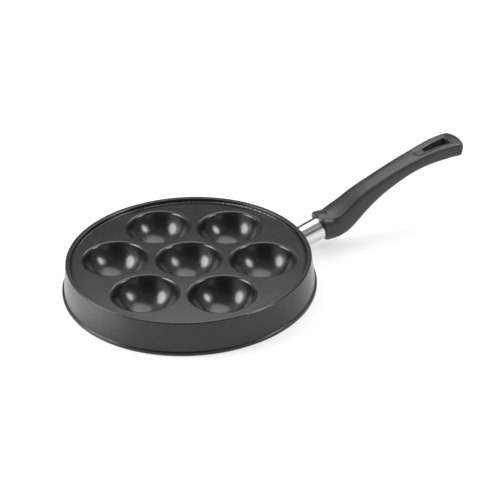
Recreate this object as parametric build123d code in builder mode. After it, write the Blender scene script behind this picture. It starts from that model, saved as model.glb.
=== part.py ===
"""An aebleskiver pan: a round plate with seven bowl-shaped wells inside a raised rim, carried on a
flared skirt, and a fixed handle made of a bright ferrule and a moulded grip on one long screw.

Millimetres. The origin is on the ground at the middle of the pan, +Z is up, and the handle points
along +X and rises away from the pan.
"""
import os
from math import atan, cos, degrees, radians, sin, sqrt

from build123d import *

os.makedirs("parts", exist_ok=True)

# Pan shell
rim_diameter = 200.0
pan_height = 27.0
rim_width = 4.0
rim_edge_radius = 1.0
plate_drop_depth = 3.4
plate_corner_radius = 1.2
plate_thickness = 2.5
skirt_thickness = 2.8
skirt_root_radius = 1.0
foot_height = 2.8
foot_overhang_width = 4.5
foot_flange_width = 1.4
foot_ring_width = 5.5
foot_edge_radius = 0.6

# Wells: one in the middle and a ring of six around it
ring_well_count = 6
well_gap_width = 8.0
well_rim_gap_width = 9.4
well_ground_gap_height = 0.8
well_wall_thickness = 2.4
well_lip_radius = 2.4
well_root_radius = 1.2

# Handle line: the room left between the ferrule and the foot's flange, and how steeply it rises
handle_foot_gap_height = 0.6
handle_rise_angle = 13.9

# Bracket inside the ferrule, riveted to the skirt
bracket_foot_diameter = 16.4
bracket_foot_thickness = 2.2
bracket_sheet_thickness = 1.6
bracket_height = 12.4
bracket_width = 8.0
bracket_length = 18.0
rivet_diameter = 2.8
rivet_head_diameter = 4.4
rivet_head_height = 1.3
rivet_head_taper_angle = 25.0
rivet_spacing = 9.6
rivet_clearance = 0.05

# Screw, nut and washers
screw_diameter = 5.0
screw_length = 40.0
screw_head_diameter = 9.2
screw_head_height = 3.3
screw_drive_width = 1.2
screw_drive_length = 5.2
screw_drive_depth = 1.8
screw_tip_chamfer_width = 0.6
screw_head_edge_radius = 1.1
thread_clearance = 0.05
screw_clearance = 0.25
nut_sides = 6
nut_width = 8.0
nut_height = 4.0
washer_diameter = 10.0
washer_thickness = 1.0
lock_washer_diameter = 8.8
lock_washer_thickness = 1.3
lock_washer_cut_width = 1.0

# Ferrule
ferrule_pan_diameter = 19.0
ferrule_grip_diameter = 20.4
ferrule_sheet_thickness = 0.8
ferrule_length = 21.8
ferrule_insert_length = 8.0
ferrule_clearance = 0.1
skirt_clearance = 0.1

# Grip
grip_length = 144.9
grip_width = 26.6
grip_top_height = 23.0
grip_end_lean_angle = 20.0
grip_end_bow_radius = 34.0
grip_front_radius = 0.9
seat_distance = 48.2
seat_bore_diameter = 11.2
seat_bore_length = 48.0

# Hanging slot near the grip's end
slot_distance = 144.4
slot_length = 24.0
slot_front_width = 4.8
slot_rear_width = 11.4
slot_corner_radius = 1.6
slot_lean_angle = 5.0

# Shallow dish round the slot
dish_distance = 142.0
dish_length = 37.0
dish_front_width = 11.0
dish_rear_width = 18.0
dish_corner_radius = 4.5
dish_depth = 2.0

# How far a cut runs past what it cuts, how closely a level or radius must match when edges are
# picked, and half of a full turn
overrun = 2.0
match_tolerance = 0.01
half_turn_angle = 180.0

# Shares of the grip's length, half width, rise and end lean at each station from the front face to
# the end, and each station's edge radius as a share of half its smaller side
grip_length_shares = (0, 0.037, 0.086, 0.155, 0.252, 0.39, 0.542, 0.715, 0.817, 0.886, 0.945, 1)
grip_width_shares = (0.925, 0.977, 0.992, 0.932, 0.82, 0.722, 0.707, 0.782, 0.87, 0.927, 0.967, 1)
grip_top_shares = (0.613, 0.557, 0.5, 0.526, 0.696, 0.852, 0.957, 1, 1, 0.966, 0.905, 0.825)
grip_bottom_shares = (
    -0.504, -0.539, -0.535, -0.474, -0.226, 0.135, 0.387, 0.513, 0.457, 0.382, 0.299, 0.202
)
grip_lean_shares = (0, 0, 0, 0, 0, 0, 0, 0, 0.12, 0.4, 0.72, 1)
grip_edge_shares = (0.9, 0.75, 0.66, 0.62, 0.6, 0.6, 0.6, 0.6, 0.6, 0.62, 0.68, 0.78)

# How far the grip's end is rounded, as a share of half the end's height
grip_end_share = 0.64

# Levels and radii that follow from the sizes above
rim_radius = rim_diameter / 2
foot_radius = rim_radius + foot_overhang_width
plate_level = pan_height - plate_drop_depth
plate_underside = plate_level - plate_thickness
skirt_foot_radius = foot_radius - foot_flange_width
skirt_flare = (skirt_foot_radius - rim_radius) / (pan_height - foot_height)
skirt_lean = atan(skirt_flare)
skirt_wall = skirt_thickness * cos(skirt_lean)
ferrule_drop = ferrule_pan_diameter / 2 / cos(radians(handle_rise_angle))
handle_height = foot_height + handle_foot_gap_height + ferrule_drop


def skirt_radius(height):
    """Outer radius of the flared skirt at a height above the ground."""
    return rim_radius + (pan_height - height) * skirt_flare


# The handle's line, the two planes that its pieces are drawn on, and the plane that rests against
# the skirt where the line leaves it
handle_start = (skirt_radius(handle_height), 0, handle_height)
handle_forward = (cos(radians(handle_rise_angle)), 0, sin(radians(handle_rise_angle)))
handle_axis = Axis(handle_start, handle_forward)
across_handle = Plane(origin=handle_start, x_dir=(0, 1, 0), z_dir=handle_forward)
along_handle = Plane(origin=handle_start, x_dir=handle_forward, z_dir=(0, -1, 0))
skirt_outward = (cos(skirt_lean), 0, sin(skirt_lean))
against_skirt = Plane(origin=handle_start, x_dir=(0, 1, 0), z_dir=skirt_outward)

# Places along the handle's line, measured from the skirt
front_face_distance = ferrule_length
recess_end_distance = ferrule_length + ferrule_insert_length
washer_end_distance = seat_distance + washer_thickness
lock_washer_end_distance = washer_end_distance + lock_washer_thickness
screw_tip_distance = lock_washer_end_distance - screw_length
nut_end_distance = bracket_length - bracket_sheet_thickness

# Six wells round a seventh are as far from each other as from the middle one, so one spacing
# places them all, with one gap between their mouths and another between them and the rim
well_spacing = (rim_radius - rim_width - well_rim_gap_width + well_gap_width / 2) * 2 / 3

# Wells as parts of spheres: the sphere's radius and centre follow from the mouth and the depth
well_mouth_radius = (well_spacing - well_gap_width) / 2
well_depth = plate_level - well_wall_thickness - well_ground_gap_height
well_radius = (well_mouth_radius ** 2 + well_depth ** 2) / (2 * well_depth)
well_centre_level = plate_level - well_depth + well_radius
dome_radius = well_radius + well_wall_thickness


def bowl(radius, top_level):
    """The part of a sphere about a well's centre that lies below a level."""
    half_width = sqrt(radius ** 2 - (well_centre_level - top_level) ** 2)
    half_angle = degrees(atan(half_width / (well_centre_level - top_level)))
    with BuildPart() as bowl_part:
        with BuildSketch(Plane.XZ):
            with BuildLine():
                floor = CenterArc((0, well_centre_level), radius, -90, half_angle)
                Polyline(floor @ 1, (0, top_level), floor @ 0)
            make_face()
        revolve(axis=Axis.Z)
    return bowl_part.part


def corner(sketch, across, up):
    """The corner of a flat outline that lies nearest to a point on its plane."""
    return sketch.vertices().sort_by_distance((across, up, 0))[0]


def round_edges(part, level, radius):
    """The circular edges of a part that lie at one level and have one radius."""
    circles = part.edges().filter_by(GeomType.CIRCLE)
    level_circles = circles.filter_by_position(Axis.Z, level - match_tolerance, level + match_tolerance)
    return level_circles.filter_by(lambda edge: abs(edge.radius - radius) < match_tolerance)


def skirt_envelope(gap):
    """The space that the pan fills out to its skirt, grown outwards by a gap."""
    with BuildPart() as envelope:
        with BuildSketch(Plane.XZ):
            with BuildLine():
                Polyline(
                    (0, 0),
                    (skirt_radius(0) + gap, 0),
                    (rim_radius + gap, pan_height),
                    (0, pan_height),
                    close=True,
                )
            make_face()
        revolve(axis=Axis.Z)
    return envelope.part


def rivet_places():
    """The two rivets, side by side on the plane against the skirt."""
    return GridLocations(rivet_spacing, 0, 2, 1)


def make_pan_body():
    """The shell: plate, rim, flared skirt, foot ring and seven wells in one piece."""
    inner_rim_radius = rim_radius - rim_width
    skirt_bottom_inside = skirt_foot_radius - skirt_thickness
    skirt_top_inside = skirt_radius(plate_underside) - skirt_thickness
    dome = bowl(dome_radius, plate_underside + plate_thickness / 2)
    hollow = bowl(well_radius, plate_level)

    with BuildPart() as pan_body:
        with BuildSketch(Plane.XZ) as profile:
            with BuildLine():
                Polyline(
                    (0, plate_level),
                    (inner_rim_radius, plate_level),
                    (inner_rim_radius, pan_height),
                    (rim_radius, pan_height),
                    (skirt_foot_radius, foot_height),
                    (foot_radius, foot_height),
                    (foot_radius, 0),
                    (foot_radius - foot_ring_width, 0),
                    (skirt_bottom_inside, foot_height),
                    (skirt_top_inside, plate_underside),
                    (0, plate_underside),
                    close=True,
                )
            make_face()
            fillet(corner(profile, inner_rim_radius, plate_level), plate_corner_radius)
            fillet(corner(profile, inner_rim_radius, pan_height), rim_edge_radius)
            fillet(corner(profile, rim_radius, pan_height), rim_edge_radius)
            fillet(corner(profile, skirt_foot_radius, foot_height), foot_edge_radius)
            fillet(corner(profile, foot_radius, foot_height), foot_edge_radius)
            fillet(corner(profile, foot_radius, 0), foot_edge_radius)
            fillet(corner(profile, skirt_top_inside, plate_underside), skirt_root_radius)
        revolve(axis=Axis.Z)

        half_step = half_turn_angle / ring_well_count
        with Locations((0, 0)):
            add(dome)
        with PolarLocations(well_spacing, ring_well_count, start_angle=half_step):
            add(dome)
        with Locations((0, 0)):
            add(hollow, mode=Mode.SUBTRACT)
        with PolarLocations(well_spacing, ring_well_count, start_angle=half_step):
            add(hollow, mode=Mode.SUBTRACT)

        fillet(round_edges(pan_body, plate_level, well_mouth_radius), well_lip_radius)
        dome_root = sqrt(dome_radius ** 2 - (well_centre_level - plate_underside) ** 2)
        fillet(round_edges(pan_body, plate_underside, dome_root), well_root_radius)

        with BuildSketch(against_skirt.offset(overrun)):
            with rivet_places():
                Circle(rivet_diameter / 2)
        extrude(amount=-skirt_wall - 2 * overrun, mode=Mode.SUBTRACT)
    return pan_body.part


def make_handle_bracket():
    """A steel bracket: a round foot on the skirt, two webs and an end wall for the screw."""
    inner_height = bracket_height - 2 * bracket_sheet_thickness
    with BuildPart() as bracket:
        with BuildSketch(against_skirt.offset(bracket_foot_thickness)):
            Circle(bracket_foot_diameter / 2)
        extrude(amount=-bracket_foot_thickness - overrun)
        with BuildSketch(across_handle):
            Rectangle(bracket_width, bracket_height)
            Rectangle(bracket_width, inner_height, mode=Mode.SUBTRACT)
        extrude(amount=bracket_length)
        with BuildSketch(across_handle.offset(nut_end_distance)):
            Rectangle(bracket_width, bracket_height)
            Circle(screw_diameter / 2 + screw_clearance, mode=Mode.SUBTRACT)
        extrude(amount=bracket_sheet_thickness)
        add(skirt_envelope(0), mode=Mode.SUBTRACT)
        with BuildSketch(against_skirt.offset(bracket_foot_thickness)):
            with rivet_places():
                Circle(rivet_diameter / 2)
        extrude(amount=-bracket_foot_thickness - overrun, mode=Mode.SUBTRACT)
    return bracket.part


def make_bracket_rivets():
    """Two rivets through the skirt and the bracket's foot, with a tapered head on each side."""
    shank_length = skirt_wall + bracket_foot_thickness + rivet_head_height
    with BuildPart() as rivets:
        with BuildSketch(against_skirt.offset(-skirt_wall / 2)):
            with rivet_places():
                Circle(rivet_head_diameter / 2)
        extrude(amount=-skirt_wall / 2)
        with BuildSketch(against_skirt.offset(-skirt_wall)):
            with rivet_places():
                Circle(rivet_head_diameter / 2)
        extrude(amount=-rivet_head_height, taper=rivet_head_taper_angle)
        add(skirt_envelope(-skirt_thickness), mode=Mode.INTERSECT)
        with BuildSketch(against_skirt.offset(bracket_foot_thickness)):
            with rivet_places():
                Circle(rivet_head_diameter / 2)
        extrude(amount=rivet_head_height, taper=rivet_head_taper_angle)
        with BuildSketch(against_skirt.offset(-skirt_wall - rivet_head_height / 2)):
            with rivet_places():
                Circle(rivet_diameter / 2 - rivet_clearance)
        extrude(amount=shank_length)
    return rivets.part


def make_weld_nut():
    """A hexagon nut welded inside the bracket's end wall."""
    with BuildPart() as nut:
        with BuildSketch(across_handle.offset(nut_end_distance - nut_height)):
            RegularPolygon(nut_width / 2, nut_sides, major_radius=False)
            Circle(screw_diameter / 2 + thread_clearance, mode=Mode.SUBTRACT)
        extrude(amount=nut_height)
    return nut.part


def make_ferrule():
    """A thin flared sleeve from the skirt into the grip's front recess."""
    pan_radius = ferrule_pan_diameter / 2
    grip_radius = ferrule_grip_diameter / 2
    widening = (grip_radius - pan_radius) / ferrule_length
    start_distance = -skirt_thickness
    start_radius = pan_radius + start_distance * widening
    with BuildPart() as ferrule:
        with BuildSketch(along_handle):
            with BuildLine():
                Polyline(
                    (start_distance, start_radius),
                    (front_face_distance, grip_radius),
                    (recess_end_distance, grip_radius),
                    (recess_end_distance, grip_radius - ferrule_sheet_thickness),
                    (front_face_distance, grip_radius - ferrule_sheet_thickness),
                    (start_distance, start_radius - ferrule_sheet_thickness),
                    close=True,
                )
            make_face()
        revolve(axis=handle_axis)
        add(skirt_envelope(skirt_clearance), mode=Mode.SUBTRACT)
    return ferrule.part


def grip_station_plane(index):
    """The plane of one grip section, through its middle; the last few lean with the end."""
    distance = front_face_distance + grip_length_shares[index] * grip_length
    middle = (grip_top_shares[index] + grip_bottom_shares[index]) / 2 * grip_top_height
    rise = radians(handle_rise_angle - grip_lean_shares[index] * grip_end_lean_angle)
    origin = along_handle.from_local_coords((distance, middle))
    return Plane(origin=origin, x_dir=(0, 1, 0), z_dir=(cos(rise), 0, sin(rise)))


def slot_plane(distance):
    """The plane on the grip's top that the slot or its dish is drawn on, at a distance."""
    slope = radians(handle_rise_angle - slot_lean_angle)
    along_slope = (cos(slope), 0, sin(slope))
    middle = along_handle.from_local_coords((slot_distance, grip_top_height))
    tangent = Plane(origin=middle, x_dir=along_slope, z_dir=(-sin(slope), 0, cos(slope)))
    origin = tangent.from_local_coords((distance - slot_distance, 0))
    return Plane(origin=origin, x_dir=along_slope, z_dir=tangent.z_dir)


def tapered_outline(length, front_width, rear_width, corner_radius):
    """A four-sided outline that widens towards the grip's end, with rounded corners."""
    with BuildSketch() as outline:
        with BuildLine():
            Polyline(
                (-length / 2, -front_width / 2),
                (length / 2, -rear_width / 2),
                (length / 2, rear_width / 2),
                (-length / 2, front_width / 2),
                close=True,
            )
        make_face()
        fillet(outline.vertices(), corner_radius)
    return outline.sketch


def make_grip():
    """The moulded grip: a deep rounded front, an S-shaped neck and a flared end with its slot."""
    slot = tapered_outline(slot_length, slot_front_width, slot_rear_width, slot_corner_radius)
    dish = tapered_outline(dish_length, dish_front_width, dish_rear_width, dish_corner_radius)

    with BuildPart() as grip:
        for index, width_share in enumerate(grip_width_shares):
            width = width_share * grip_width
            height = (grip_top_shares[index] - grip_bottom_shares[index]) * grip_top_height
            edge_radius = grip_edge_shares[index] * min(width, height) / 2
            with BuildSketch(grip_station_plane(index)):
                RectangleRounded(width, height, edge_radius)
        loft()
        front_face = grip.faces().sort_by(handle_axis)[0]
        fillet(front_face.edges(), grip_front_radius)
        end = grip_station_plane(len(grip_length_shares) - 1)
        with BuildSketch(Plane(origin=end.origin, x_dir=(0, 1, 0), z_dir=-end.y_dir)):
            Rectangle(2 * grip_width, 2 * grip_end_bow_radius)
            with Locations((0, -grip_end_bow_radius)):
                Circle(grip_end_bow_radius, mode=Mode.SUBTRACT)
        extrude(amount=grip_top_height, both=True, mode=Mode.SUBTRACT)
        end_face = grip.faces().sort_by(handle_axis)[-1]
        end_height = (grip_top_shares[-1] - grip_bottom_shares[-1]) * grip_top_height
        fillet(end_face.edges(), grip_end_share * end_height / 2)

        with BuildSketch(across_handle.offset(front_face_distance - overrun)):
            Circle(ferrule_grip_diameter / 2 + ferrule_clearance)
        extrude(amount=overrun + ferrule_insert_length, mode=Mode.SUBTRACT)
        with BuildSketch(across_handle.offset(recess_end_distance - overrun)):
            Circle(screw_diameter / 2 + screw_clearance)
        extrude(amount=seat_distance - recess_end_distance + 2 * overrun, mode=Mode.SUBTRACT)
        with BuildSketch(across_handle.offset(seat_distance)):
            Circle(seat_bore_diameter / 2)
        extrude(amount=seat_bore_length, mode=Mode.SUBTRACT)

        with BuildSketch(slot_plane(slot_distance)):
            add(slot)
        extrude(amount=grip_top_height, both=True, mode=Mode.SUBTRACT)
        with BuildSketch(slot_plane(dish_distance)):
            add(dish)
        with BuildSketch(slot_plane(slot_distance).offset(-dish_depth)):
            add(slot)
        loft(mode=Mode.SUBTRACT)
    return grip.part


def make_handle_screw():
    """The long screw: a round head with a cross recess, seated on its washers."""
    with BuildPart() as screw:
        with BuildSketch(across_handle.offset(screw_tip_distance)):
            Circle(screw_diameter / 2)
        extrude(amount=screw_length)
        chamfer(screw.faces().sort_by(handle_axis)[0].edges(), screw_tip_chamfer_width)
        with BuildSketch(across_handle.offset(lock_washer_end_distance)):
            Circle(screw_head_diameter / 2)
        extrude(amount=screw_head_height)
        head_end = lock_washer_end_distance + screw_head_height
        fillet(screw.faces().sort_by(handle_axis)[-1].edges(), screw_head_edge_radius)
        with BuildSketch(across_handle.offset(head_end)):
            Rectangle(screw_drive_length, screw_drive_width)
            Rectangle(screw_drive_width, screw_drive_length)
        extrude(amount=-screw_drive_depth, mode=Mode.SUBTRACT)
    return screw.part


def make_ring(start_distance, outer_diameter, thickness, cut_width):
    """A washer on the handle's line, split on its upper side if it has a cut."""
    with BuildPart() as ring:
        with BuildSketch(across_handle.offset(start_distance)):
            Circle(outer_diameter / 2)
            Circle(screw_diameter / 2 + screw_clearance, mode=Mode.SUBTRACT)
            if cut_width > 0:
                with Locations((0, outer_diameter / 2)):
                    Rectangle(cut_width, outer_diameter, mode=Mode.SUBTRACT)
        extrude(amount=thickness)
    return ring.part


pieces = {
    "pan_body": make_pan_body(),
    "handle_bracket": make_handle_bracket(),
    "bracket_rivets": make_bracket_rivets(),
    "weld_nut": make_weld_nut(),
    "ferrule": make_ferrule(),
    "grip": make_grip(),
    "handle_screw": make_handle_screw(),
    "screw_washer": make_ring(seat_distance, washer_diameter, washer_thickness, 0),
    "lock_washer": make_ring(
        washer_end_distance, lock_washer_diameter, lock_washer_thickness, lock_washer_cut_width
    ),
}
for name, piece in pieces.items():
    piece.label = name
    export_step(piece, "parts/" + name + ".step")
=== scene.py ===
"""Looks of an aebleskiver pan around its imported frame: coated shell, steel ferrule, moulded grip.

Metres. The origin is on the ground at the middle of the pan, +Z is up, and the handle points
along +X and rises away from the pan.
"""
from math import atan2, cos, pi, radians, sin, sqrt, tan
from types import SimpleNamespace

import bmesh
import bpy
import numpy as np
from mathutils import Matrix, Vector


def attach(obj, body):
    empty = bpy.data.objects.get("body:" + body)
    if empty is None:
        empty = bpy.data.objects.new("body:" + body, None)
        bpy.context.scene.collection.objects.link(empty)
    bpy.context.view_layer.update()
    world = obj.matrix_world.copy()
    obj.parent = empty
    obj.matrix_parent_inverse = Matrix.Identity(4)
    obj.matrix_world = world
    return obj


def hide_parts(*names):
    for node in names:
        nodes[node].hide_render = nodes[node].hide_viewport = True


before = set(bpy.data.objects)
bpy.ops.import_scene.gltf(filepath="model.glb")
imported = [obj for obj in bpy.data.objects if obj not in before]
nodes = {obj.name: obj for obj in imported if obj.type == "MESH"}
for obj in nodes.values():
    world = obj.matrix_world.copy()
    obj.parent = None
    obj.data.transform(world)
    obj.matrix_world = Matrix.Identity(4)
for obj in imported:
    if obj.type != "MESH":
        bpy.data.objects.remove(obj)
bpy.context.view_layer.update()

MM = 0.001

# Camera, fitted to the rim, the foot, the wells and the ferrule
camera_azimuth = radians(-27.11)
camera_elevation = radians(30.75)
camera_roll = radians(-1.10)
camera_distance = 1.16256
camera_right = 0.04997
camera_up = 0.02645
camera_lens_mm = 101.67
sensor_width_mm = 36.0
camera_reach = 50

# Floor: its size, its matt colour, how far it lies under the foot ring, and how much of its
# white, rather than its lit colour, is seen
floor_radius = 8
floor_grey = 0.92
floor_gap = 0.0002
floor_lift = 0.55

# The room's light: a band along the horizon (from and to a height, strengths at both), and
# glows by azimuth, elevation, inner and outer angle and strength
horizon_band = (0.08, 0.34, 0.26, 0.03)
room_glows = (
    (0, 90, 10, 40, 0.34),
    (62, 40, 4, 15, 0.52),
    (48, 66, 6, 24, 0.34),
    (110, 45, 6, 30, 0.88),
    (15, 45, 6, 30, 0.64),
    (170, 8, 10, 45, 0.92),
    (-20, 8, 10, 45, 0.29),
    (-72, 25, 10, 35, 0.18),
    (-84, 53, 2, 9, 0.5),
    (-80, 8, 6, 16, 0.6),
    (142, 27, 2, 17, 2.1),
    (-42, 46, 2, 13, 3.2),
)

# Lamps: name, azimuth, elevation, distance, width, height, turn and radiance
lamp_target = Vector((0.03, 0, 0.02))
lamps = (
    ("lamp_left", 157, 37, 0.6, 0.39, 0.26, -14, 12.1),
    ("lamp_right", -34, 42, 0.9, 0.40, 0.27, 64, 12.8),
    ("lamp_above", 48, 65, 1.2, 1.1, 0.9, 0, 2.83),
    ("lamp_strip", 52, 42, 1.2, 1.25, 0.17, 0, 3.2),
)

# A narrow lamp straight above the floor at the pan's left
spot_place = (-0.165, -0.012, 0.35)
spot_size = 0.04
spot_spread = radians(28.0)
spot_watts = 0.09

# Handle line
handle_start = Vector((101.77, 0, 13.19)) * MM
handle_rise = radians(13.9)
handle_forward = Vector((cos(handle_rise), 0, sin(handle_rise)))
handle_up = Vector((-sin(handle_rise), 0, cos(handle_rise)))
across = Vector((0, 1, 0))

# Grip, in millimetres: shares of its length, half width, rise and lean at each station
ferrule_length = 21.8
grip_length = 144.65
grip_width = 26.6
grip_top_height = 22.98
grip_end_lean = radians(20.0)
length_shares = (0, 0.037, 0.086, 0.155, 0.252, 0.39, 0.542, 0.715, 0.817, 0.886, 0.945, 1)
width_shares = (0.925, 0.977, 0.992, 0.932, 0.82, 0.722, 0.707, 0.782, 0.87, 0.927, 0.967, 1)
top_shares = (0.613, 0.557, 0.5, 0.526, 0.696, 0.852, 0.957, 1, 1, 0.966, 0.905, 0.825)
bottom_shares = (
    -0.504, -0.539, -0.535, -0.474, -0.226, 0.135, 0.387, 0.513, 0.457, 0.382, 0.299, 0.202
)
lean_shares = (0, 0, 0, 0, 0, 0, 0, 0, 0.12, 0.4, 0.72, 1)

# Rounding of the grip's two ends: radii, how much of the drawing in the sides take, the bow of
# the end face seen from above and the stretch it takes, and the inset at which crowns fade out
grip_front_radius = 1.4
grip_end_radius = 3.2
end_side_share = 0.5
grip_end_bow_radius = 40.0
grip_end_bow_length = 14.0
fading_inset = 8.0
end_face_insets = (4.2, 5.4, 6.7)

# The grip's top by distance from the skirt: half width of the crowned middle, how far it falls
# to its edge, how deep it dips before the tongue, width and slope of the ledge beside it, and
# the slope at which the shoulder leaves the ledge
top_distances = (21.8, 27, 29.5, 31, 33, 37, 42, 50, 60, 70, 85, 100, 115, 125, 140, 150, 158, 167)
facet_halves = (
    4.0, 4.5, 5.0, 5.6, 8.0, 9.8, 9.6, 8.8, 7.9, 7.4, 7.2, 7.2, 7.3, 7.6, 8.5, 9.0, 9.4, 9.6
)
facet_crowns = (
    0.3, 0.5, 0.8, 1.3, 2.1, 2.3, 1.8, 1.3, 1.0, 0.9, 0.9, 0.75, 0.5, 0.5, 0.5, 0.5, 0.5, 0.5
)
facet_dips = (0, 0, 0.3, 0.8, 0.8, 0.4, 0.2, 0.1, 0, 0, 0, 0, 0, 0, 0, 0, 0, 0)
ledge_widths = (
    0.5, 0.5, 0.6, 1.0, 1.3, 1.3, 1.2, 0.9, 0.7, 0.6, 0.5, 0.4, 0.3, 0.3, 0.3, 0.3, 0.3, 0.3
)
ledge_angles = (8, 12, 14, 10, 5, 5, 8, 13, 18, 18, 16, 13, 9, 7, 7, 7, 7, 7)
tilt_angles = (10, 14, 16, 18, 20, 20, 22, 26, 26, 22, 19, 15, 11, 9, 8, 8, 8, 8)
dip_fade = 0.6

# The grip's sides: how far shoulder and belly reach as shares of the half height and width, how
# square they are (2 is a plain oval), and how far the belly sags below the plain section
body_distances = (21.8, 25, 30, 34, 44, 58, 78, 100, 125, 150, 167)
shoulder_drops = (0.95, 0.94, 0.92, 0.90, 0.85, 0.75, 0.70, 0.68, 0.75, 0.85, 0.80)
shoulder_powers = (2.2, 2.5, 2.8, 2.6, 2.3, 2.2, 2.3, 2.4, 2.6, 3.1, 3.2)
belly_widths = (0.90, 0.88, 0.86, 0.85, 0.80, 0.80, 0.80, 0.80, 0.75, 0.70, 0.66)
belly_rises = (0.95, 0.95, 0.95, 0.95, 1.00, 1.05, 1.10, 1.10, 1.00, 0.80, 0.66)
belly_powers = (2.2, 2.4, 2.7, 2.8, 2.9, 3.0, 3.0, 3.0, 3.0, 2.8, 2.4)
belly_sags = (-0.4, -0.5, -0.2, 0.3, 0.6, 0.75, 0.9, 1.1, 1.2, 0.9, 0.1)

# Least sizes that keep a drawn in section open
least_facet = 0.8
least_reach = 0.4
least_side = 0.1

# Where the collar runs into the tongue, and how often that stretch is smoothed
tip_start = 24.5
tip_end = 40.0
tip_smoothings = 6

# Hanging slot and its dish, in millimetres along the handle's line
slot_front = 132.4
slot_rear = 156.4
slot_front_half = 2.4
slot_rear_half = 5.7
slot_corner = 1.6
slot_rim_radius = 0.5
dish_depth = 1.35
dish_wall_share = 0.6
dish_edge_share = 0.35
dish_ridge_width = 0.8
dish_front_margin = 10.0
dish_rear_margin = 3.6
dish_fade_start = 0.3
dish_fade_length = 0.5

# The columns beside the middle line keep a share of the top until they spread to the slot
border_spread_start = 96.0
border_spread_length = 24.0
plain_border_share = 0.4
widest_border_share = 0.8

# Sections along the grip: where each stretch starts, how far apart its sections are, and the
# steps round the two ends
collar_end, collar_step = 46, 1.0
neck_start, neck_end, neck_step = 46.5, 122.0, 1.8
dish_start, dish_step = 122.5, 0.9
slot_front_clearance = 0.4
slot_steps = 13
slot_end_clearance = 3.2
slot_edge_step = 0.47
dish_rear_steps = (0.9, 1.8, 2.7, 3.7)
front_angles = (0, 22, 45, 67)
end_angles = (0, 12, 24, 36, 48, 60, 72, 81, 90)

# Columns and steps round one section
top_columns = 9
slot_column = 3
ledge_steps = 2
shoulder_steps = 8
side_steps = 2
belly_steps = 10
ring_count = 4 * top_columns + 2 * (ledge_steps + shoulder_steps + side_steps + belly_steps)
top_middle = top_columns
bottom_middle = top_middle + ring_count // 2

# Bores in the grip, as radius, start and length: seat of the ferrule, hole for the screw and
# the wider bore for its head
grip_bores = (
    (10.3, ferrule_length - 2, 10.0),
    (2.75, 27.0, 23.0),
    (5.6, 48.2, 48.0),
)
bore_segments = 96
crease_angle = radians(38)


def smooth(t):
    t = min(max(t, 0.0), 1.0)
    return t * t * (3 - 2 * t)


def curve_through(shares):
    """A smooth curve through one share for each station, as a function of the length share."""
    xs = np.array(length_shares)
    ys = np.array(shares)
    n = len(xs)
    h = np.diff(xs)
    system = np.zeros((n, n))
    right = np.zeros(n)
    system[0, 0] = system[-1, -1] = 1
    for i in range(1, n - 1):
        system[i, i - 1] = h[i - 1]
        system[i, i] = 2 * (h[i - 1] + h[i])
        system[i, i + 1] = h[i]
        right[i] = 3 * ((ys[i + 1] - ys[i]) / h[i] - (ys[i] - ys[i - 1]) / h[i - 1])
    c = np.linalg.solve(system, right)

    def value(x):
        i = int(min(max(np.searchsorted(xs, x, side="right") - 1, 0), n - 2))
        b = (ys[i + 1] - ys[i]) / h[i] - h[i] * (2 * c[i] + c[i + 1]) / 3
        d = (c[i + 1] - c[i]) / (3 * h[i])
        u = x - xs[i]
        return float(ys[i] + b * u + c[i] * u * u + d * u ** 3)

    return value


width_curve = curve_through(width_shares)
top_curve = curve_through(top_shares)
bottom_curve = curve_through(bottom_shares)


def direction_to(azimuth, elevation):
    """The direction at an azimuth and elevation in degrees."""
    azimuth, elevation = radians(azimuth), radians(elevation)
    return Vector((cos(azimuth) * cos(elevation), sin(azimuth) * cos(elevation), sin(elevation)))


def add_piece(name, bm, material, node):
    """Turns a finished bmesh into a piece that rides on the root and stands for a CAD node."""
    mesh = bpy.data.meshes.new(name)
    bm.to_mesh(mesh)
    bm.free()
    piece = bpy.data.objects.new(name, mesh)
    bpy.context.scene.collection.objects.link(piece)
    mesh.materials.append(material)
    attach(piece, "root")
    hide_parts(node)
    return piece


# Materials

def new_material(name):
    material = bpy.data.materials.new(name)
    material.use_nodes = True
    tree = material.node_tree
    tree.nodes.clear()
    return material, tree


def link(tree, a, b):
    tree.links.new(a, b)


def noise(tree, coordinates, scale, detail, roughness):
    node = tree.nodes.new("ShaderNodeTexNoise")
    node.inputs["Scale"].default_value = scale
    node.inputs["Detail"].default_value = detail
    node.inputs["Roughness"].default_value = roughness
    link(tree, coordinates, node.inputs["Vector"])
    return node.outputs["Fac"]


def spread(tree, value, low, high):
    """Maps a value from 0.3 to 0.7 onto a range, clamped."""
    node = tree.nodes.new("ShaderNodeMapRange")
    node.inputs["From Min"].default_value = 0.3
    node.inputs["From Max"].default_value = 0.7
    node.inputs["To Min"].default_value = low
    node.inputs["To Max"].default_value = high
    link(tree, value, node.inputs["Value"])
    return node.outputs["Result"]


def blend_colours(tree, factor, first, second):
    node = tree.nodes.new("ShaderNodeMix")
    node.data_type = "RGBA"
    node.inputs[6].default_value = (*first, 1)
    node.inputs[7].default_value = (*second, 1)
    link(tree, factor, node.inputs[0])
    return node.outputs[2]


def bump(tree, height, strength, distance):
    node = tree.nodes.new("ShaderNodeBump")
    node.inputs["Strength"].default_value = strength
    node.inputs["Distance"].default_value = distance
    link(tree, height, node.inputs["Height"])
    return node.outputs["Normal"]


def finish_shader(tree, colour, roughness, normal, metallic):
    shader = tree.nodes.new("ShaderNodeBsdfPrincipled")
    output = tree.nodes.new("ShaderNodeOutputMaterial")
    shader.inputs["Metallic"].default_value = metallic
    shader.inputs["IOR"].default_value = 1.5
    link(tree, colour, shader.inputs["Base Color"])
    link(tree, roughness, shader.inputs["Roughness"])
    link(tree, normal, shader.inputs["Normal"])
    link(tree, shader.outputs["BSDF"], output.inputs["Surface"])
    return shader


def object_coordinates(tree):
    return tree.nodes.new("ShaderNodeTexCoord").outputs["Object"]


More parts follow.
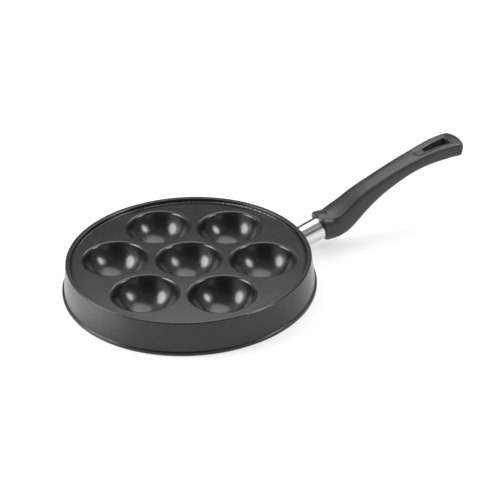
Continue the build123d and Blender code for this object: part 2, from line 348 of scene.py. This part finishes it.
def make_coating():
    """Black non-stick coating: satin, very slightly cloudy, with a fine sprayed grain."""
    material, tree = new_material("pan_coating")
    place = object_coordinates(tree)
    cloud = noise(tree, place, scale=45, detail=3, roughness=0.5)
    grain = noise(tree, place, scale=2600, detail=2, roughness=0.5)
    colour = blend_colours(tree, cloud, (0.0085, 0.0086, 0.0092), (0.0125, 0.0126, 0.0132))
    roughness = spread(tree, cloud, low=0.19, high=0.235)
    normal = bump(tree, grain, strength=0.12, distance=0.00004)
    finish_shader(tree, colour, roughness, normal, metallic=0.0)
    return material


def make_plastic():
    """Black moulded plastic: satin with a fine even grain."""
    material, tree = new_material("grip_plastic")
    place = object_coordinates(tree)
    cloud = noise(tree, place, scale=60, detail=3, roughness=0.5)
    grain = noise(tree, place, scale=3200, detail=2, roughness=0.5)
    colour = blend_colours(tree, cloud, (0.0145, 0.0145, 0.0147), (0.019, 0.019, 0.0192))
    roughness = spread(tree, cloud, low=0.35, high=0.41)
    normal = bump(tree, grain, strength=0.15, distance=0.00004)
    finish_shader(tree, colour, roughness, normal, metallic=0.0)
    return material


def make_metal(name, dark, light, low, high):
    """Bare metal with faint clouding and a fine grain."""
    material, tree = new_material(name)
    place = object_coordinates(tree)
    cloud = noise(tree, place, scale=120, detail=3, roughness=0.5)
    grain = noise(tree, place, scale=1800, detail=3, roughness=0.6)
    colour = blend_colours(tree, cloud, dark, light)
    roughness = spread(tree, cloud, low, high)
    normal = bump(tree, grain, strength=0.05, distance=0.00002)
    finish_shader(tree, colour, roughness, normal, metallic=1.0)
    return material


def vector_step(tree, operation, first, second):
    """One vector operation on a linked value and on a second value that is linked or fixed."""
    node = tree.nodes.new("ShaderNodeVectorMath")
    node.operation = operation
    link(tree, first, node.inputs[0])
    if operation == "SCALE":
        node.inputs["Scale"].default_value = second
    elif isinstance(second, Vector):
        node.inputs[1].default_value = second
    else:
        link(tree, second, node.inputs[1])
    return node.outputs["Value" if operation == "DOT_PRODUCT" else "Vector"]


def number_step(tree, operation, first, second):
    """One operation on a linked number and on a second number that is linked or fixed."""
    node = tree.nodes.new("ShaderNodeMath")
    node.operation = operation
    link(tree, first, node.inputs[0])
    if isinstance(second, float):
        node.inputs[1].default_value = second
    else:
        link(tree, second, node.inputs[1])
    return node.outputs[0]


def mix_shaders(tree, factor, first, second):
    mix = tree.nodes.new("ShaderNodeMixShader")
    link(tree, factor, mix.inputs[0])
    link(tree, first, mix.inputs[1])
    link(tree, second, mix.inputs[2])
    return mix.outputs["Shader"]


def make_ferrule_metal():
    """Drawn steel tube: faint streaks and crisp reflections run along its length."""
    material, tree = new_material("ferrule_metal")
    place = object_coordinates(tree)
    along = vector_step(tree, "PROJECT", place, handle_forward)
    drawn = vector_step(tree, "SUBTRACT", place, vector_step(tree, "SCALE", along, 0.97))
    cloud = noise(tree, drawn, scale=500, detail=3, roughness=0.5)
    lines = noise(tree, drawn, scale=2600, detail=3, roughness=0.6)
    colour = blend_colours(tree, cloud, (0.66, 0.66, 0.65), (0.72, 0.72, 0.71))
    roughness = spread(tree, cloud, low=0.13, high=0.17)
    normal = bump(tree, lines, strength=0.02, distance=0.00001)
    shader = finish_shader(tree, colour, roughness, normal, metallic=1.0)
    shader.inputs["Anisotropic"].default_value = 0.6
    shader.inputs["Anisotropic Rotation"].default_value = 0.25
    surface = tree.nodes.new("ShaderNodeNewGeometry").outputs["Normal"]
    round_axis = vector_step(tree, "CROSS_PRODUCT", surface, -handle_forward)
    link(tree, round_axis, shader.inputs["Tangent"])
    return material


coating = make_coating()
plastic = make_plastic()
ferrule_steel = make_ferrule_metal()
plated_steel = make_metal("screw_steel", (0.5, 0.5, 0.49), (0.6, 0.6, 0.58), 0.28, 0.4)
inner_steel = make_metal("inner_steel", (0.42, 0.42, 0.41), (0.5, 0.5, 0.48), 0.35, 0.5)
rivet_metal = make_metal("rivet_metal", (0.6, 0.6, 0.6), (0.7, 0.7, 0.7), 0.3, 0.42)


def dress(node, material):
    """Gives a CAD node its finish."""
    for slot in nodes[node].material_slots:
        slot.material = material


dress("pan_body", coating)
dress("ferrule", ferrule_steel)
dress("handle_bracket", inner_steel)
dress("weld_nut", inner_steel)
dress("bracket_rivets", rivet_metal)
dress("handle_screw", plated_steel)
dress("screw_washer", plated_steel)
dress("lock_washer", plated_steel)


# Grip

def slot_half(distance):
    """Half the slot's width, which grows from its front to its rear."""
    share = (distance - slot_front) / (slot_rear - slot_front)
    share = min(max(share, 0.0), 1.0)
    return slot_front_half + share * (slot_rear_half - slot_front_half)


def dish_drop(distance, side, facet):
    """How far the top sinks at a place near the slot."""
    half = slot_half(distance)
    beside = max(abs(side) - half, 0) / max(facet - half - dish_ridge_width, 1)
    before = max(slot_front - distance, 0) / dish_front_margin
    behind = max(distance - slot_rear, 0) / dish_rear_margin
    inwards = 1 - sqrt(beside ** 2 + before ** 2 + behind ** 2)
    wall = dish_wall_share * smooth(inwards / dish_edge_share)
    return dish_depth * (wall + (1 - dish_wall_share) * smooth(inwards))


def section_sizes(distance, inset):
    """The measures of one section of the grip, drawn in by the inset towards its two ends."""
    share = (distance - ferrule_length) / grip_length
    top = top_curve(share) * grip_top_height
    bottom = bottom_curve(share) * grip_top_height
    half_width = width_curve(share) * grip_width / 2
    half_height = (top - bottom) / 2
    facet, crown, dip, ledge, ledge_angle, tilt = (
        float(np.interp(distance, top_distances, values))
        for values in (
            facet_halves, facet_crowns, facet_dips, ledge_widths, ledge_angles, tilt_angles
        )
    )
    drop_share, shoulder_power, belly_share, rise_share, belly_power, sag = (
        float(np.interp(distance, body_distances, values))
        for values in (
            shoulder_drops, shoulder_powers, belly_widths, belly_rises, belly_powers, belly_sags
        )
    )
    drop = half_height * drop_share
    rise = min(half_height * rise_share, 2 * half_height - drop)
    facet = max(facet - inset, least_facet)
    spreading = smooth((distance - border_spread_start) / border_spread_length)
    border = slot_half(distance) * spreading + plain_border_share * facet * (1 - spreading)
    fullness = 1 - inset / fading_inset
    return SimpleNamespace(
        middle=(top + bottom) / 2,
        lean=grip_end_lean * float(np.interp(share, length_shares, lean_shares)),
        half_width=half_width - end_side_share * inset,
        half_height=half_height - inset,
        facet=facet,
        border=min(border, widest_border_share * facet),
        crown=crown * fullness,
        dip=dip,
        ledge=ledge * fullness,
        ledge_slope=tan(radians(ledge_angle)),
        tilt_slope=tan(radians(tilt)),
        drop=max(drop - inset, least_reach),
        shoulder_bend=2 / shoulder_power,
        belly=max(half_width * belly_share - inset, least_reach),
        rise=max(rise - inset, least_reach),
        belly_bend=2 / belly_power,
        sag=sag * fullness,
    )


def column_place(column, border, edge):
    """A column's place across: evenly out to the slot's border, then evenly to the edge."""
    if column <= slot_column:
        return border * column / slot_column
    return border + (edge - border) * (column - slot_column) / (top_columns - slot_column)


def top_row(size):
    """Half the crowned top from its middle to its edge, then the ledge beside it."""
    row = []
    for column in range(top_columns + 1):
        y = column_place(column, size.border, size.facet)
        share = (y / size.facet) ** 2
        row.append((y, size.half_height - size.crown * share - size.dip * (1 - dip_fade * share)))
    edge_height = row[-1][1]
    for step in range(1, ledge_steps + 1):
        out = size.ledge * step / ledge_steps
        row.append((size.facet + out, edge_height - out * size.ledge_slope))
    return row


def shoulder_row(size, edge_height):
    """The shoulder from the ledge round to the side, leaving the ledge at the tilt's slope."""
    side_width = max(size.half_width - size.facet - size.ledge, least_reach)
    start = 0.0
    for _ in range(8):
        start = min(atan2(size.tilt_slope * side_width, size.drop * (1 - sin(start))), 1.0)
    bend = size.shoulder_bend
    reach = side_width / (1 - sin(start) ** bend)
    row = []
    for step in range(1, shoulder_steps + 1):
        angle = start + (pi / 2 - start) * step / shoulder_steps
        y = size.half_width - reach + reach * sin(angle) ** bend
        fall = cos(start) ** bend - abs(cos(angle)) ** bend
        row.append((y, edge_height - size.drop * fall))
    return row


def belly_row(size, side_top):
    """The straight side and the belly under it."""
    side_bottom = min(size.rise - size.half_height, side_top - least_side)
    row = []
    for step in range(1, side_steps + 1):
        row.append((size.half_width, side_top + (side_bottom - side_top) * step / side_steps))
    depth = side_bottom + size.half_height + size.sag
    for step in range(1, belly_steps + 1):
        angle = pi / 2 * step / belly_steps
        y = size.half_width - size.belly * (1 - abs(cos(angle)) ** size.belly_bend)
        row.append((y, side_bottom - depth * sin(angle) ** size.belly_bend))
    return row


def bottom_row(size, edge):
    """Half the flat bottom from its edge back to the middle."""
    border = min(size.border, widest_border_share * edge)
    height = -size.half_height - size.sag
    return [(column_place(column, border, edge), height) for column in reversed(range(top_columns))]


def section_places(distance, inset):
    """One closed section of the grip, from the top's far edge round the near side and back."""
    size = section_sizes(distance, inset)
    half_outline = top_row(size)
    half_outline += shoulder_row(size, half_outline[-1][1])
    half_outline += belly_row(size, half_outline[-1][1])
    half_outline += bottom_row(size, half_outline[-1][0])
    outline = [(-y, h) for y, h in half_outline[top_columns:0:-1]] + half_outline
    outline += [(-y, h) for y, h in half_outline[-2:top_columns:-1]]

    from_end = ferrule_length + grip_length - distance
    bow = smooth(1 - from_end / grip_end_bow_length) / (2 * grip_end_bow_radius)
    places = []
    for y, h in outline:
        along = distance + h * sin(size.lean) - bow * y ** 2
        height = size.middle + h * cos(size.lean)
        above = h / size.half_height - dish_fade_start
        if above > 0:
            height -= dish_drop(along, y, size.facet) * smooth(above / dish_fade_length)
        places.append(handle_point(along, y, height))
    return places


def handle_point(along, side, height):
    """A place given in millimetres along, beside and above the handle's line."""
    along, side, height = float(along) * MM, float(side) * MM, float(height) * MM
    return handle_start + along * handle_forward + side * across + height * handle_up


def grip_stations():
    """Distances of the grip's sections with how far each one is drawn in, front to end."""
    stations = []
    for angle in front_angles:
        turn = radians(angle)
        inset = grip_front_radius * (1 - sin(turn))
        stations.append((ferrule_length + grip_front_radius * (1 - cos(turn)), inset))
    places = list(np.arange(ferrule_length + grip_front_radius, collar_end, collar_step))
    places += list(np.arange(neck_start, neck_end, neck_step))
    places += list(np.arange(dish_start, slot_front - slot_front_clearance, dish_step))
    slot_edge = (0, slot_edge_step, slot_corner)
    places += [slot_front + step for step in slot_edge]
    middle_start, middle_end = slot_front + slot_end_clearance, slot_rear - slot_end_clearance
    places += list(np.linspace(middle_start, middle_end, slot_steps))
    places += [slot_rear - step for step in reversed(slot_edge)]
    places += [slot_rear + step for step in dish_rear_steps]
    stations += [(place, 0.0) for place in places]
    end_start = ferrule_length + grip_length - grip_end_radius
    for angle in end_angles:
        turn = radians(angle)
        inset = grip_end_radius * (1 - cos(turn))
        stations.append((end_start + grip_end_radius * sin(turn), inset))
    stations += [(end_start + grip_end_radius, inset) for inset in end_face_insets]
    return stations


def ring_edges(bm, ring):
    return [bm.edges.get((a, b)) for a, b in zip(ring, ring[1:] + ring[:1])]


def extrude_ring(bm, ring, places):
    """Extrudes a closed ring of vertices and moves the new ring to its places."""
    made = bmesh.ops.extrude_edge_only(bm, edges=ring_edges(bm, ring))["geom"]
    fresh = {v for v in made if isinstance(v, bmesh.types.BMVert)}
    row = []
    for vert in ring:
        row.append(next(e.other_vert(vert) for e in vert.link_edges if e.other_vert(vert) in fresh))
    for vert, place in zip(row, places):
        vert.co = place
    return row


def slot_border(rings, front, rear, middle):
    """The vertices round one mouth of the slot, as a loop, with its corners drawn in."""
    first, last = middle - slot_column, middle + slot_column
    loop = [rings[front][j] for j in range(first, last + 1)]
    loop += [rings[i][last] for i in range(front + 1, rear + 1)]
    loop += [rings[rear][j] for j in range(last - 1, first - 1, -1)]
    loop += [rings[i][first] for i in range(rear - 1, front, -1)]
    for station, direction in ((front, 1), (rear, -1)):
        for column in (first, last):
            vert = rings[station][column]
            inwards = (rings[station][middle].co - vert.co).normalized()
            shift = slot_corner * (1 - 1 / sqrt(2)) * MM
            vert.co += (handle_forward * direction + inwards) * shift
    return loop


def open_slot(bm, rings, stations):
    """Takes out the faces over and under the slot, bridges the two mouths and rounds them."""
    distances = [station[0] for station in stations]
    front, rear = distances.index(slot_front), distances.index(slot_rear)
    borders = []
    unwanted = set()
    for middle in (top_middle, bottom_middle):
        columns = range(middle - slot_column, middle + slot_column + 1)
        inside = {ring[j] for ring in rings[front:rear + 1] for j in columns}
        unwanted |= {f for v in inside for f in v.link_faces if all(c in inside for c in f.verts)}
        borders.append(slot_border(rings, front, rear, middle))
    bmesh.ops.delete(bm, geom=list(unwanted), context="FACES")
    rims = ring_edges(bm, borders[0]) + ring_edges(bm, borders[1])
    bmesh.ops.bridge_loops(bm, edges=rims)
    bmesh.ops.bevel(
        bm, geom=rims, offset=slot_rim_radius * MM, segments=2, profile=0.5,
        affect="EDGES", material=-1, clamp_overlap=True,
    )


def build_grip():
    """The grip's skin, extruded from section to section, with its slot bridged through."""
    bm = bmesh.new()
    stations = grip_stations()
    ring = bmesh.ops.create_circle(bm, segments=ring_count, radius=0.01)["verts"]
    for vert, place in zip(ring, section_places(*stations[0])):
        vert.co = place
    rings = [ring]
    for station in stations[1:]:
        rings.append(extrude_ring(bm, rings[-1], section_places(*station)))
    tip = [v for ring, (at, _) in zip(rings, stations) if tip_start < at < tip_end for v in ring]
    for _ in range(tip_smoothings):
        bmesh.ops.smooth_vert(
            bm, verts=tip, factor=0.5, use_axis_x=True, use_axis_y=True, use_axis_z=True
        )
    bmesh.ops.edgeloop_fill(bm, edges=ring_edges(bm, rings[0]))
    bmesh.ops.edgeloop_fill(bm, edges=ring_edges(bm, rings[-1]))
    open_slot(bm, rings, stations)
    bmesh.ops.recalc_face_normals(bm, faces=bm.faces)
    return bm


def build_rod(radius, start, length):
    """A closed rod along the handle's line, used to bore the grip."""
    bm = bmesh.new()
    turn = Matrix((across, handle_up, handle_forward)).transposed().to_4x4()
    place = Matrix.Translation(handle_point(start + length / 2, 0, 0)) @ turn
    bmesh.ops.create_cone(
        bm, cap_ends=True, segments=bore_segments, radius1=radius * MM, radius2=radius * MM,
        depth=length * MM, matrix=place,
    )
    bmesh.ops.recalc_face_normals(bm, faces=bm.faces)
    return bm


def bore(piece, rod):
    """Cuts a rod out of a piece and keeps the result as the piece's mesh."""
    mesh = bpy.data.meshes.new("rod")
    rod.to_mesh(mesh)
    rod.free()
    cutter = bpy.data.objects.new("rod", mesh)
    bpy.context.scene.collection.objects.link(cutter)
    modifier = piece.modifiers.new("bore", "BOOLEAN")
    modifier.operation = "DIFFERENCE"
    modifier.solver = "EXACT"
    modifier.object = cutter
    bpy.context.view_layer.update()
    shaped = piece.evaluated_get(bpy.context.evaluated_depsgraph_get())
    result = bpy.data.meshes.new_from_object(shaped)
    piece.modifiers.clear()
    piece.data = result
    bpy.data.objects.remove(cutter)


grip = add_piece("grip_moulding", build_grip(), plastic, "grip")
for measures in grip_bores:
    bore(grip, build_rod(*measures))
grip.data.shade_smooth()
grip.data.set_sharp_from_angle(angle=crease_angle)


# Camera, lamps, floor and surroundings

def place_camera():
    back = Vector((
        sin(camera_azimuth) * cos(camera_elevation),
        -cos(camera_azimuth) * cos(camera_elevation),
        sin(camera_elevation),
    ))
    right = Vector((cos(camera_azimuth), sin(camera_azimuth), 0))
    up = right.cross(-back)
    turned_right = cos(camera_roll) * right + sin(camera_roll) * up
    turned_up = -sin(camera_roll) * right + cos(camera_roll) * up
    place = back * camera_distance + right * camera_right + up * camera_up
    data = bpy.data.cameras.new("camera")
    data.sensor_width = sensor_width_mm
    data.lens = camera_lens_mm
    data.clip_end = camera_reach
    camera = bpy.data.objects.new("camera", data)
    turn = Matrix((turned_right, turned_up, back)).transposed().to_4x4()
    camera.matrix_world = Matrix.Translation(place) @ turn
    bpy.context.scene.collection.objects.link(camera)
    bpy.context.scene.camera = camera


def softbox(name, azimuth, elevation, distance, width, height, turn, radiance):
    """An oval lamp that faces the pan from a direction, turned about its own axis."""
    away = direction_to(azimuth, elevation)
    data = bpy.data.lights.new(name, "AREA")
    data.shape = "ELLIPSE"
    data.size = width
    data.size_y = height
    data.energy = radiance * pi * (pi * width * height / 4)
    lamp = bpy.data.objects.new(name, data)
    facing = away.to_track_quat("Z", "Y").to_matrix().to_4x4()
    place = Matrix.Translation(lamp_target + away * distance)
    lamp.matrix_world = place @ facing @ Matrix.Rotation(radians(turn), 4, "Z")
    bpy.context.scene.collection.objects.link(lamp)


def floor_spot():
    """A narrow lamp over the floor beside the pan, which brightens what the skirt reflects."""
    data = bpy.data.lights.new("lamp_floor", "AREA")
    data.shape = "DISK"
    data.size = spot_size
    data.spread = spot_spread
    data.energy = spot_watts
    lamp = bpy.data.objects.new("lamp_floor", data)
    lamp.location = spot_place
    bpy.context.scene.collection.objects.link(lamp)


def seen_directly(tree):
    """One for camera, glossy and transmission rays, which show the white background."""
    path = tree.nodes.new("ShaderNodeLightPath")
    total = path.outputs["Is Camera Ray"]
    for ray in ("Is Glossy Ray", "Is Transmission Ray"):
        total = number_step(tree, "MAXIMUM", total, path.outputs[ray])
    return total


def make_floor():
    """A pale disk that takes the pan's shadow."""
    bm = bmesh.new()
    bmesh.ops.create_circle(bm, cap_ends=True, segments=64, radius=floor_radius)
    mesh = bpy.data.meshes.new("floor")
    bm.to_mesh(mesh)
    bm.free()
    floor = bpy.data.objects.new("floor", mesh)
    floor.location.z = -floor_gap
    bpy.context.scene.collection.objects.link(floor)
    material, tree = new_material("floor_white")
    matt = tree.nodes.new("ShaderNodeBsdfDiffuse")
    matt.inputs["Color"].default_value = (floor_grey, floor_grey, floor_grey, 1)
    white = tree.nodes.new("ShaderNodeEmission")
    white.inputs["Strength"].default_value = 1.0
    share = number_step(tree, "MULTIPLY", seen_directly(tree), floor_lift)
    output = tree.nodes.new("ShaderNodeOutputMaterial")
    mixed = mix_shaders(tree, share, matt.outputs["BSDF"], white.outputs["Emission"])
    link(tree, mixed, output.inputs["Surface"])
    mesh.materials.append(material)


def fade(tree, value, start, end, low, high):
    """Goes smoothly from low to high while the value goes from start to end."""
    node = tree.nodes.new("ShaderNodeMapRange")
    node.interpolation_type = "SMOOTHSTEP"
    for name, number in (("From Min", start), ("From Max", end), ("To Min", low), ("To Max", high)):
        node.inputs[name].default_value = number
    link(tree, value, node.inputs["Value"])
    return node.outputs["Result"]


def glow(tree, direction, azimuth, elevation, inner, outer, radiance):
    """Light from one part of the room, full inside the inner angle and gone at the outer one."""
    nearness = vector_step(tree, "DOT_PRODUCT", direction, direction_to(azimuth, elevation))
    return fade(tree, nearness, cos(radians(outer)), cos(radians(inner)), 0, radiance)


def background(tree):
    node = tree.nodes.new("ShaderNodeBackground")
    node.inputs["Color"].default_value = (1, 1, 1, 1)
    node.inputs["Strength"].default_value = 1.0
    return node


def make_surroundings():
    """White for the camera; the object itself sees a dim room with pale parts."""
    world = bpy.data.worlds.new("studio")
    bpy.context.scene.world = world
    world.use_nodes = True
    tree = world.node_tree
    tree.nodes.clear()
    direction = tree.nodes.new("ShaderNodeTexCoord").outputs["Generated"]
    parts = tree.nodes.new("ShaderNodeSeparateXYZ")
    link(tree, direction, parts.inputs[0])
    total = fade(tree, parts.outputs["Z"], *horizon_band)
    for part in room_glows:
        total = number_step(tree, "ADD", total, glow(tree, direction, *part))
    room = background(tree)
    link(tree, total, room.inputs["Strength"])
    white = background(tree)
    path = tree.nodes.new("ShaderNodeLightPath")
    output = tree.nodes.new("ShaderNodeOutputWorld")
    mixed = mix_shaders(tree, path.outputs["Is Camera Ray"], room.outputs[0], white.outputs[0])
    link(tree, mixed, output.inputs["Surface"])


place_camera()
make_floor()
make_surroundings()
for lamp in lamps:
    softbox(*lamp)
floor_spot()

scene = bpy.context.scene
scene.view_settings.view_transform = "Standard"
